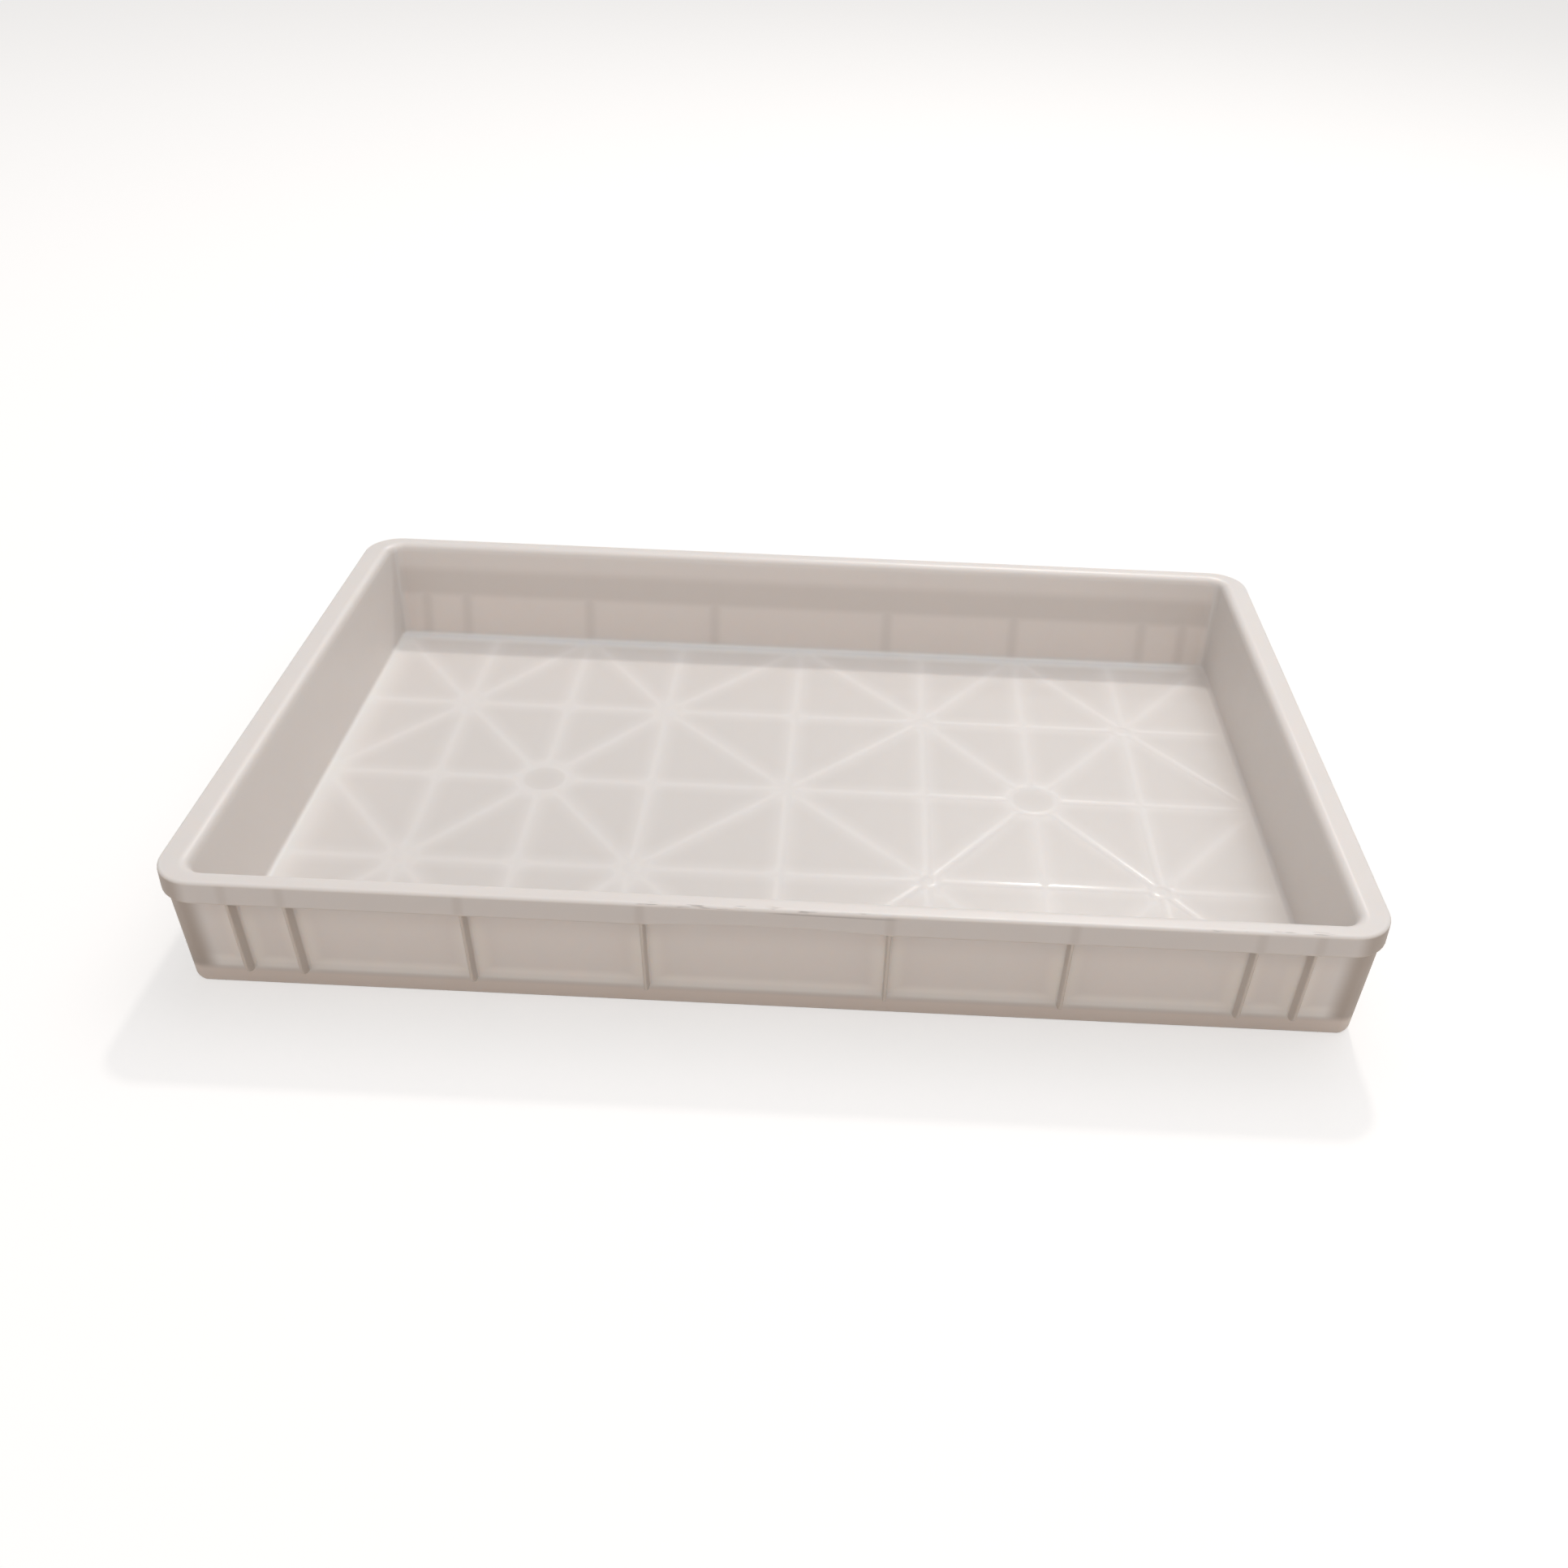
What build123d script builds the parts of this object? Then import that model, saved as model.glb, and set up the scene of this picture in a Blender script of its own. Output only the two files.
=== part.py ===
"""Developing tray: a shallow one-piece moulding, written out as its named regions.

Millimetres. X runs along the tray, Y across it and Z up. The origin is the middle of the
underside, on the surface that the tray stands on. Every region meets its neighbours face
to face, so the regions together are the whole moulding.
"""
import os
from math import atan2, degrees, hypot

from build123d import *

# --- Driving dimensions -----------------------------------------------------------------
LENGTH = 600.0              # rim, outside to outside, along X
WIDTH = 400.0               # rim, outside to outside, along Y
HEIGHT = 78.0               # underside to the top of the rim
WALL = 2.6                  # thickness of the walls

# Floor
FLOOR_TOP = 15.0            # height of the floor that the liquid lies on
FLOOR_THICKNESS = 2.5
FLOOR_HALF_X = 281.0        # inner foot of the end walls
FLOOR_HALF_Y = 179.5        # inner foot of the long walls
DRAFT_X = 0.0556            # lean of the end walls, sideways per unit of height
DRAFT_Y = 0.1413            # lean of the long walls
INNER_CORNER = 6.0          # plan radius of the inner corners at the floor
CORNER_GROWTH = 0.05        # how fast the corner radii grow with height

# Rim: a flat flange with an apron hanging from its outer edge
FLANGE_THICKNESS = 2.6
RIM_CORNER = 22.0           # plan radius outside
RIM_EDGE = 1.6              # rounding of the flange's two top edges
APRON_THICKNESS = 2.2
APRON_DEPTH = 12.9          # top of the rim to the apron's lower edge
ARCH_RISE = 2.5             # how far the apron's edge rises over the middle bay, for the fingers

# Corner columns: upright blocks that carry the tray's ends; their end faces run up behind the apron
COLUMN_CORNER = 7.5         # plan radius
COLUMN_END_Y = 165.0        # where the column stops and the recessed end wall starts
COLUMN_SKIN = 3.4           # thickness left round the core pocket

# Ribs outside the walls
RIB_THICKNESS = 2.0
# On each long wall, left to right. The middle bay lies a little to the left.
LONG_RIBS_X = (-263.0, -235.0, -149.0, -61.5, 58.5, 146.5, 235.0, 263.0)
END_RIBS_Y = (61.5, 137.0)                     # on each end wall, both sides of the middle
LONG_RIB_DEPTH = 8.7        # how far a rib stands out of a long wall
LONG_RIB_FOOT = 12.0        # height where a long wall's rib starts from the wall
END_RIB_FOOT = 6.0
RIB_FOOT_RISE = 10.0        # height over which a rib's foot slopes out to full depth

# Ribs under the floor
LATTICE_RIB = 2.0
LATTICE_X = (83.0, 148.2, 212.9)               # cross ribs, both sides of the middle one
LATTICE_Y = 86.4                               # long ribs, both sides of the middle one
HUB_RADIUS = 16.2           # two rings on the middle line
BOSS_RADIUS = 7.0           # small rings where the diagonals cross
RING_WALL = 2.4

# --- Worked out from the driving dimensions -----------------------------------------------
FLOOR_UNDER = FLOOR_TOP - FLOOR_THICKNESS
FLANGE_BASE = HEIGHT - FLANGE_THICKNESS
APRON_BOTTOM = HEIGHT - APRON_DEPTH
APRON_INNER_X = LENGTH / 2 - APRON_THICKNESS
APRON_INNER_Y = WIDTH / 2 - APRON_THICKNESS
CORNER_X = 270.0            # where the long walls stop and the corners start
RIM_STRAIGHT_X = LENGTH / 2 - RIM_CORNER
RIM_STRAIGHT_Y = WIDTH / 2 - RIM_CORNER
FAR = 400.0                 # beyond the tray on every side


def inner_x(z):
    return FLOOR_HALF_X + DRAFT_X * (z - FLOOR_TOP)


def inner_y(z):
    return FLOOR_HALF_Y + DRAFT_Y * (z - FLOOR_TOP)


def inner_radius(z):
    return INNER_CORNER + CORNER_GROWTH * (z - FLOOR_TOP)


def end_wall_outer(z):
    return inner_x(z) + WALL


def long_wall_outer(z):
    return inner_y(z) + WALL


def column_outer(z):
    return APRON_INNER_X


def column_radius(z):
    return COLUMN_CORNER


def tapered_block(z_low, z_high, half_x, half_y, radius):
    """Block with rounded corners; its half sizes and corner radius depend on height."""
    sections = []
    for z in (z_low, z_high):
        outline = RectangleRounded(2 * half_x(z), 2 * half_y(z), radius(z))
        sections.append(Pos(0, 0, z) * outline)
    return loft(sections, ruled=True)


def prism_across(points, half_length):
    """Prism along Y, from an outline of (x, z) points."""
    outline = make_face(Polyline(*points, close=True))
    return extrude(Plane.XZ * outline, amount=half_length, both=True)


def prism_along(points, x_low, x_high):
    """Prism along X, from an outline of (y, z) points."""
    outline = make_face(Polyline(*points, close=True))
    return extrude(Plane.YZ.offset(x_low) * outline, amount=x_high - x_low)


def slab(x_low, x_high, y_low, y_high, z_low, z_high):
    block = Box(x_high - x_low, y_high - y_low, z_high - z_low, align=Align.MIN)
    return Pos(x_low, y_low, z_low) * block


def both_ends(shape):
    return shape + mirror(shape, about=Plane.YZ)


def split_ring(ring, name, x, y, corner_name):
    """Cut a ring that runs round the tray into its four straight sides and its four corners."""
    parts = {
        f"front_{name}": ring & slab(-x, x, -FAR, 0, 0, FAR),
        f"rear_{name}": ring & slab(-x, x, 0, FAR, 0, FAR),
        f"left_{name}": ring & slab(-FAR, -x, -y, y, 0, FAR),
        f"right_{name}": ring & slab(x, FAR, -y, y, 0, FAR),
    }
    for y_name, y_low, y_high in (("front", -FAR, -y), ("rear", y, FAR)):
        for x_name, x_low, x_high in (("left", -FAR, -x), ("right", x, FAR)):
            corner = ring & slab(x_low, x_high, y_low, y_high, 0, FAR)
            parts[f"{y_name}_{x_name}_{corner_name}"] = corner
    return parts


# --- Walls and corners ---------------------------------------------------------------------
def end_recesses():
    """Space outside the end walls, between the corner columns."""
    points = [
        (end_wall_outer(0), 0),
        (FAR, 0),
        (FAR, FLANGE_BASE),
        (end_wall_outer(FLANGE_BASE), FLANGE_BASE),
    ]
    return both_ends(prism_across(points, COLUMN_END_Y))


def column_pocket():
    """Core pocket inside one corner column, open at the underside."""
    sections = []
    for z in (0, FLANGE_BASE):
        x_low = end_wall_outer(z)
        x_high = column_outer(z) - COLUMN_SKIN
        y_low = COLUMN_END_Y + COLUMN_SKIN
        y_high = long_wall_outer(z) - COLUMN_SKIN
        outline = Rectangle(x_high - x_low, y_high - y_low, align=Align.MIN)
        sections.append(Pos(x_low, y_low, z) * outline)
    return loft(sections, ruled=True)


def wall_shell():
    """All four walls and the corner columns, from the underside up to the flange."""
    outside = tapered_block(0, FLANGE_BASE, column_outer, long_wall_outer, column_radius)
    inside = tapered_block(0, FLANGE_BASE, inner_x, inner_y, inner_radius)
    pockets = both_ends(column_pocket())
    pockets += mirror(pockets, about=Plane.XZ)
    return outside - inside - end_recesses() - pockets - apron()


# --- Ribs outside the walls ------------------------------------------------------------------
def rib_outline(wall_face, rib_face, foot, apron_face):
    """Outline of a wall rib: across the wall by height, from its sloping foot to the flange."""
    shoulder = foot + RIB_FOOT_RISE
    bend = APRON_BOTTOM + 3.0
    return [
        (wall_face(foot), foot),
        (rib_face(shoulder), shoulder),
        (min(rib_face(bend), apron_face), bend),
        (apron_face, FLANGE_BASE - 3.0),
        (apron_face, FLANGE_BASE),
        (wall_face(FLANGE_BASE), FLANGE_BASE),
    ]


def long_rib_face(z):
    return long_wall_outer(z) + LONG_RIB_DEPTH


def long_wall_ribs():
    outline = rib_outline(long_wall_outer, long_rib_face, LONG_RIB_FOOT, APRON_INNER_Y)
    ribs = []
    for middle in LONG_RIBS_X:
        ribs.append(prism_along(outline, middle - RIB_THICKNESS / 2, middle + RIB_THICKNESS / 2))
    rear = Compound(ribs)
    return {"rear_wall_ribs": rear, "front_wall_ribs": mirror(rear, about=Plane.XZ)}


def end_wall_ribs():
    outline = rib_outline(end_wall_outer, column_outer, END_RIB_FOOT, APRON_INNER_X)
    rib = prism_across(outline, RIB_THICKNESS / 2)
    ribs = []
    for y in END_RIBS_Y:
        ribs.append(Pos(0, y, 0) * rib)
        ribs.append(Pos(0, -y, 0) * rib)
    right = Compound(ribs)
    return {"right_wall_ribs": right, "left_wall_ribs": mirror(right, about=Plane.YZ)}


# --- Rim ---------------------------------------------------------------------------------------
def flange():
    plate = extrude(RectangleRounded(LENGTH, WIDTH, RIM_CORNER), FLANGE_THICKNESS)
    plate = Pos(0, 0, FLANGE_BASE) * plate
    plate -= tapered_block(FLANGE_BASE, HEIGHT, inner_x, inner_y, inner_radius)
    top_edges = plate.edges().filter_by_position(Axis.Z, HEIGHT, HEIGHT)
    return fillet(top_edges, RIM_EDGE)


def apron_arch(y):
    """Shallow lens that lifts the apron's lower edge over the middle bay, at one long side."""
    left, right = LONG_RIBS_X[3:5]
    low = APRON_BOTTOM - 1.0
    top = ((left + right) / 2, APRON_BOTTOM + ARCH_RISE)
    edge = [
        Polyline((right, APRON_BOTTOM), (right, low), (left, low), (left, APRON_BOTTOM)),
        ThreePointArc((left, APRON_BOTTOM), top, (right, APRON_BOTTOM)),
    ]
    outline = Plane.XZ * make_face(edge)
    return Pos(0, y, 0) * extrude(outline, amount=2 * APRON_THICKNESS, both=True)


def apron():
    outer = RectangleRounded(LENGTH, WIDTH, RIM_CORNER)
    inner = RectangleRounded(2 * APRON_INNER_X, 2 * APRON_INNER_Y, RIM_CORNER - APRON_THICKNESS)
    ring = Pos(0, 0, APRON_BOTTOM) * extrude(outer - inner, FLANGE_BASE - APRON_BOTTOM)
    middle = WIDTH / 2 - APRON_THICKNESS / 2
    return ring - apron_arch(-middle) - apron_arch(middle)


# --- Floor and the lattice under it ----------------------------------------------------------
def floor_panel():
    return tapered_block(FLOOR_UNDER, FLOOR_TOP, inner_x, inner_y, inner_radius)


def bar(start, end):
    """Upright bar under the floor, from one point to another, wide enough to overlap both."""
    length = hypot(end[0] - start[0], end[1] - start[1])
    turn = degrees(atan2(end[1] - start[1], end[0] - start[0]))
    middle = ((start[0] + end[0]) / 2, (start[1] + end[1]) / 2)
    solid = Box(length, LATTICE_RIB, FLOOR_UNDER, align=(Align.CENTER, Align.CENTER, Align.MIN))
    return Pos(middle[0], middle[1], 0) * Rot(0, 0, turn) * solid


def star_points():
    """The eight points that the diagonal ribs spread from."""
    points = []
    for x in (LATTICE_X[0], LATTICE_X[2]):
        for side_x in (-1, 1):
            for side_y in (-1, 1):
                points.append((side_x * x, side_y * LATTICE_Y))
    return points


def diagonals():
    """From each star point, one bar to each of the four lattice corners round it."""
    columns = [0.0, *LATTICE_X, FLOOR_HALF_X]
    bars = []
    for star_x, star_y in star_points():
        index = columns.index(abs(star_x))
        side_x = 1 if star_x > 0 else -1
        for next_x in (columns[index - 1], columns[index + 1]):
            for next_y in (0.0, FLOOR_HALF_Y):
                side_y = 1 if star_y > 0 else -1
                bars.append(bar((star_x, star_y), (side_x * next_x, side_y * next_y)))
    return bars


def cylinder(x, y, radius):
    solid = Cylinder(radius, FLOOR_UNDER, align=(Align.CENTER, Align.CENTER, Align.MIN))
    return Pos(x, y, 0) * solid


def joined(shapes):
    total = shapes[0]
    for shape in shapes[1:]:
        total += shape
    return total


def floor_lattice():
    """Hubs and bosses first, then long ribs, cross ribs and diagonals, each cut by the ones before."""
    inside = tapered_block(0, FLOOR_UNDER, inner_x, inner_y, inner_radius)
    hub_centres = [(-LATTICE_X[1], 0), (LATTICE_X[1], 0)]
    hub_discs = joined([cylinder(x, y, HUB_RADIUS) for x, y in hub_centres])
    hub_holes = joined([cylinder(x, y, HUB_RADIUS - RING_WALL) for x, y in hub_centres])
    boss_discs = joined([cylinder(x, y, BOSS_RADIUS) for x, y in star_points()])
    boss_holes = joined([cylinder(x, y, BOSS_RADIUS - RING_WALL) for x, y in star_points()])
    discs = hub_discs + boss_discs

    long_rows = (-LATTICE_Y, 0, LATTICE_Y)
    long_bars = joined([bar((-FAR, y), (FAR, y)) for y in long_rows])
    columns = [0.0]
    for x in LATTICE_X:
        columns += [-x, x]
    cross_bars = joined([bar((x, -FAR), (x, FAR)) for x in columns])
    parts = {
        "left_floor_hub": (hub_discs - hub_holes) & slab(-FAR, 0, -FAR, FAR, 0, FAR),
        "right_floor_hub": (hub_discs - hub_holes) & slab(0, FAR, -FAR, FAR, 0, FAR),
        "floor_star_bosses": boss_discs - boss_holes,
    }
    for number, y in enumerate(long_rows, start=1):
        parts[f"long_floor_rib_{number}"] = (bar((-FAR, y), (FAR, y)) & inside) - discs
    for number, x in enumerate(sorted(columns), start=1):
        rib = bar((x, -FAR), (x, FAR)) & inside
        parts[f"cross_floor_rib_{number}"] = rib - discs - long_bars
    diagonal_bars = joined(diagonals()) & inside
    parts["floor_diagonal_ribs"] = diagonal_bars - discs - long_bars - cross_bars
    return parts


def build():
    parts = {"floor_panel": floor_panel()}
    parts.update(floor_lattice())
    parts.update(split_ring(wall_shell(), "wall", CORNER_X, COLUMN_END_Y, "column"))
    parts.update(long_wall_ribs())
    parts.update(end_wall_ribs())
    parts.update(split_ring(flange(), "rim", RIM_STRAIGHT_X, RIM_STRAIGHT_Y, "rim_corner"))
    parts.update(split_ring(apron(), "apron", RIM_STRAIGHT_X, RIM_STRAIGHT_Y, "apron_corner"))
    return parts


os.makedirs("parts", exist_ok=True)
for node, shape in build().items():
    export_step(shape, f"parts/{node}.step")
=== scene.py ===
"""Looks of the developing tray: one seamless moulding of milky plastic, built round the CAD."""
from math import cos, hypot, pi, radians, sin, sqrt

import bmesh
import bpy
import numpy as np
from mathutils import Matrix, Vector
from mathutils.geometry import delaunay_2d_cdt


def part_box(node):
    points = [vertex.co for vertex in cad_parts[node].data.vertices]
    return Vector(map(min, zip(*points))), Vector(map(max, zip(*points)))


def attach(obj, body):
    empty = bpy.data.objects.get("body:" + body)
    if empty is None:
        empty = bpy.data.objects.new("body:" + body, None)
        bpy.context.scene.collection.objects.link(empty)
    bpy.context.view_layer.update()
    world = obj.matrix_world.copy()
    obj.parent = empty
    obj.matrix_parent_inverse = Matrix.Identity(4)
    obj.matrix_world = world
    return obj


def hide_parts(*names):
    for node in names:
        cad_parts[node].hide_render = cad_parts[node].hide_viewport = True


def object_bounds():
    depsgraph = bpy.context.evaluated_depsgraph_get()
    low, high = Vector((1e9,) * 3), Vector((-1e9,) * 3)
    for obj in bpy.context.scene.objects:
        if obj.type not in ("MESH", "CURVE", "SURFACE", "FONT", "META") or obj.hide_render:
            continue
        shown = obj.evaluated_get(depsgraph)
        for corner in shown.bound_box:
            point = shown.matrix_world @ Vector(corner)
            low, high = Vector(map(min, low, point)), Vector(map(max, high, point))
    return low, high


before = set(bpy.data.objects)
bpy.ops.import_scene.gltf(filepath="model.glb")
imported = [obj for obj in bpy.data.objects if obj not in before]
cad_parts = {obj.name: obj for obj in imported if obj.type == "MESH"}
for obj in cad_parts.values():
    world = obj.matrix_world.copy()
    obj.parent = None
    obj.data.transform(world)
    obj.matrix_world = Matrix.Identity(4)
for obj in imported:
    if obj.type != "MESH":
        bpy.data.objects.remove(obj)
cad_low, cad_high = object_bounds()

MM = 0.001

# --- Sizes read from the frame ------------------------------------------------------------
HALF_X = cad_high.x
HALF_Y = cad_high.y
HEIGHT = cad_high.z
FLOOR_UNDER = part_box("floor_panel")[0].z
FLOOR_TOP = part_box("floor_panel")[1].z
FOOT_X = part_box("floor_panel")[1].x                     # inner foot of the end walls
FOOT_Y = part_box("floor_panel")[1].y                     # inner foot of the long walls
FLANGE_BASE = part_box("front_rim")[0].z
APRON_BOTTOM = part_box("rear_left_apron_corner")[0].z
APRON_INNER_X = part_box("right_apron")[0].x
APRON_INNER_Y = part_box("rear_apron")[0].y
COLUMN_END_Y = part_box("rear_right_column")[0].y
COLUMN_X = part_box("rear_right_column")[1].x
DRAFT_X = (FOOT_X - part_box("right_wall")[0].x) / FLOOR_TOP
DRAFT_Y = (FOOT_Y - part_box("rear_wall")[0].y) / FLOOR_TOP
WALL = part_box("rear_wall")[1].y - (FOOT_Y + DRAFT_Y * (FLANGE_BASE - FLOOR_TOP))
RIM_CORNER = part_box("rear_right_rim_corner")[1].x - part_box("rear_right_rim_corner")[0].x
APRON_CORNER = RIM_CORNER - (HALF_Y - APRON_INNER_Y)    # plan radius of the apron's inner face
APRON_EDGE_RADIUS = (HALF_Y - APRON_INNER_Y) / 2        # its lower edge is fully rounded

# --- Details of the moulding --------------------------------------------------------------
TOUCHING = 1e-5                 # metres, between a rib's end and the wall that it ends on
INNER_CORNER = 6 * MM           # plan radius of the inner corners at the floor
LEAST_CORNER = 1.5 * MM         # plan radius left where a fillet eats into a corner
CORNER_GROWTH = 0.05            # how fast the corner radii grow with height
COLUMN_CORNER = 7.5 * MM        # plan radius of the corner columns
COLUMN_GAP = 0.3 * MM           # between a column and the apron in front of it
COLUMN_DRAWN = 4 * MM           # height over which a column's corner draws in below the apron
COLUMN_STEP = 1.4 * MM          # radius of the bends where a column meets the end wall
STEP_GAP = 0.2 * MM             # between those two bends
COLUMN_SKIN = 3.4 * MM          # plastic left round a column's core pocket
COLUMN_FOOT_EDGE = 3 * MM       # lower edge of the columns, at the tray's ends
POCKET_CORNER = 2 * MM
FLOOR_FILLET = 3.2 * MM         # inside the tray, floor to wall
LIP_RADIUS = 5.2 * MM           # inner edge of the rim
RIM_EDGE = 1.7 * MM             # outer edge of the rim
ROOT_FILLET = 1.2 * MM          # outside, where one wall meets another
CLOSED_WIDTH = 4 * MM           # narrower than this, the room behind the apron starts to fill up
CLOSED_RISE = 0.8 * MM          # how far above the apron's edge it ends where it is filled
FOOT_EDGE = 1.1 * MM            # lower edges of the walls
ARCH_RISE = 2.5 * MM            # the apron's edge rises over the middle bay
LONG_RIB_DEPTH = 8.7 * MM       # how far a rib stands out of a long wall
RIB_FOOT_RISE = 7 * MM          # height over which a wall rib's foot comes out to full depth
RIB_TIP = 0.85 * MM             # half thickness of a rib at its free edge
RIB_ROOT = 1.15 * MM            # half thickness where it leaves the wall or floor
RIB_FILLET = 1.1 * MM
TIP_FLAT = 0.02 * MM            # half width of the flat left between the tip's two bends
CROSSING = 0.3 * MM             # how far floor ribs reach past the middle of a crossing
LEAST_DEPTH = 0.02              # of a wall rib at its foot, as a share of the full depth
SUNK = 0.8 * MM                 # how far joined solids reach into each other
SINK_DEPTH = 0.16 * MM          # the moulding shrinks over each floor rib
SINK_WIDTH = 3.4 * MM           # from a rib's middle to the edge of its sink mark
SINK_ROWS = 3                   # rows of mesh across half a sink mark
SINK_END = 2.5 * MM             # between the end of the rows and the floor's edge
HUB_SIZE = 10 * MM              # round walls above this radius are hubs, the others are bosses
HUB_STEPS, BOSS_STEPS = 48, 28  # points round them
HUB_SINK_STEPS, BOSS_SINK_STEPS = 40, 24
ARC_STEPS = 6


# --- Plan contours ------------------------------------------------------------------------
SIDE_STEPS = 34                 # along half a long side
CORNER_STEPS = 10
END_STEPS = 17                  # along half an end wall, between the columns


def inner_x(z):
    return FOOT_X + DRAFT_X * (z - FLOOR_TOP)


def inner_y(z):
    return FOOT_Y + DRAFT_Y * (z - FLOOR_TOP)


def inner_radius(z):
    return INNER_CORNER + CORNER_GROWTH * (z - FLOOR_TOP)


def quadrant(half_x, half_y, radius, z, recess=0.0, end_y=COLUMN_END_Y):
    """Contour from the middle of the front, round the right corner, to the middle of the right end.

    recess is how far the end wall stands back behind the corner column that stops at end_y.
    """
    points = [(half_x - radius) * i / SIDE_STEPS for i in range(SIDE_STEPS)]
    points = [(x, -half_y) for x in points]
    for i in range(CORNER_STEPS + 1):
        angle = -pi / 2 + pi / 2 * i / CORNER_STEPS
        x = half_x - radius + radius * cos(angle)
        points.append((x, radius - half_y + radius * sin(angle)))
    bend = COLUMN_STEP
    points.append((half_x, (radius - half_y - end_y - bend) / 2))
    for share in steps(4):
        angle = pi / 2 * share
        out = bend * (1 - cos(angle))
        points.append((half_x - min(out, recess / 2), -end_y - bend + bend * sin(angle)))
    start = -end_y + bend + STEP_GAP
    for share in steps(4):
        angle = pi / 2 * share
        out = recess - bend + bend * sin(angle)
        points.append((half_x - (max(out, recess / 2) if recess else 0), start - bend * cos(angle)))
    for i in range(1, END_STEPS + 1):
        points.append((half_x - recess, start * (1 - i / END_STEPS)))
    return [(x, y, z) for x, y in points]


def ring(*args, **kwargs):
    """A whole contour, counter-clockwise seen from above, from its front right quarter."""
    first = np.array(quadrant(*args, **kwargs))
    second = first[::-1] * (1, -1, 1)
    third = first * (-1, -1, 1)
    fourth = first[::-1] * (-1, 1, 1)
    return np.concatenate([first[:-1], second[:-1], third[:-1], fourth[:-1]])


def inner_ring(z, inset=0.0):
    radius = max(inner_radius(z) - inset, LEAST_CORNER)
    return ring(inner_x(z) - inset, inner_y(z) - inset, radius, z)


def outer_ring(z, inset=0.0):
    """Outside of the walls, with the columns standing out at the four corners."""
    column = COLUMN_X - COLUMN_GAP
    recess = column - inner_x(z) - WALL
    half_y = inner_y(z) + WALL - inset
    return ring(column - inset, half_y, COLUMN_CORNER - inset, z, recess, COLUMN_END_Y + inset)


def rim_ring(z, inset=0.0):
    return ring(HALF_X - inset, HALF_Y - inset, RIM_CORNER - inset, z)


def apron_ring(z):
    return ring(APRON_INNER_X, APRON_INNER_Y, APRON_CORNER, z)


# --- The shell: a section of the tray run round the contours ------------------------------
def steps(count, include_last=True):
    return [i / count for i in range(count + (1 if include_last else 0))]


def mixed(low, high, share):
    return low * (1 - share) + high * share


def well_rings():
    """From the floor up the inner wall to the flat of the rim."""
    rings = []
    for share in steps(ARC_STEPS):
        turn = share * pi / 2
        z = FLOOR_TOP + FLOOR_FILLET * (1 - cos(turn))
        rings.append(inner_ring(z, FLOOR_FILLET * (1 - sin(turn))))
    wall_low = FLOOR_TOP + FLOOR_FILLET
    wall_high = HEIGHT - LIP_RADIUS
    for share in steps(10)[1:]:
        rings.append(inner_ring(mixed(wall_low, wall_high, share)))
    for share in steps(ARC_STEPS + 2)[1:]:
        turn = share * pi / 2
        z = wall_high + LIP_RADIUS * sin(turn)
        back = inner_ring(z, -LIP_RADIUS * (1 - cos(turn)))
        rings.append(back)
    return rings


def at_heights(points, z):
    """The same contour with its own height for every point."""
    return np.column_stack([points[:, 0], points[:, 1], z])


def smooth(value, low, high):
    share = np.clip((value - low) / (high - low), 0, 1)
    return share * share * (3 - 2 * share)


def arch(points):
    """How far the apron's lower edge rises at each point: a shallow arch in the middle bay."""
    left, right = prism_places("rear_wall_ribs", 0)[3:5]    # the two middle ones of eight
    middle, half = (left + right) / 2, (right - left) / 2
    rise = ARCH_RISE * np.clip(1 - ((points[:, 0] - middle) / half) ** 2, 0, 1)
    return np.where(np.abs(points[:, 1]) > APRON_INNER_Y - 1 * MM, rise, 0)


def rim_rings():
    """Across the rim, round its outer edge and down the apron to its lower edge."""
    lip = inner_ring(HEIGHT, -LIP_RADIUS)
    edge = rim_ring(HEIGHT, RIM_EDGE)
    rings = [mixed(lip, edge, share) for share in (1 / 3, 2 / 3)]
    for share in steps(ARC_STEPS):
        turn = share * pi / 2
        rings.append(rim_ring(HEIGHT - RIM_EDGE * (1 - cos(turn)), RIM_EDGE * (1 - sin(turn))))
    side = rim_ring(HEIGHT)
    low = APRON_BOTTOM + APRON_EDGE_RADIUS + arch(side)
    for share in (1 / 3, 2 / 3):
        rings.append(at_heights(side, mixed(HEIGHT - RIM_EDGE, low, share)))
    for share in steps(ARC_STEPS + 2):
        turn = share * pi
        inside = rim_ring(HEIGHT, APRON_EDGE_RADIUS * (1 - cos(turn)))
        rings.append(at_heights(inside, low - APRON_EDGE_RADIUS * sin(turn)))
    return rings


def outer_wall(z, inset=0.0):
    """Outside of the walls at a height and an inset given for every point of the contour."""
    low = outer_ring(0)
    inward = (outer_ring(0, 1 * MM) - low) / (1 * MM)
    high = outer_ring(FLANGE_BASE)
    share = np.reshape(z, (-1, 1)) / FLANGE_BASE
    points = mixed(low, high, share) + inward * np.reshape(inset, (-1, 1))
    return behind_apron(at_heights(points, z))


def behind_apron(points):
    """Draw the corners of the columns in, where they would come through the apron's corners."""
    centre = np.array([APRON_INNER_X - APRON_CORNER, APRON_INNER_Y - APRON_CORNER])
    flat = np.abs(points[:, :2])
    away = flat - centre
    distance = np.hypot(away[:, 0], away[:, 1])
    excess = np.maximum(distance - (APRON_CORNER - COLUMN_GAP), 0) * (away.min(axis=1) > 0)
    excess *= smooth(points[:, 2], APRON_BOTTOM - COLUMN_DRAWN, APRON_BOTTOM)
    share = 1 - excess / np.maximum(distance, 1e-9)
    drawn = centre + away * share[:, None]
    signs = np.where(points[:, :2] < 0, -1, 1)
    return at_heights(np.where(away > 0, drawn, flat) * signs, points[:, 2])


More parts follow.
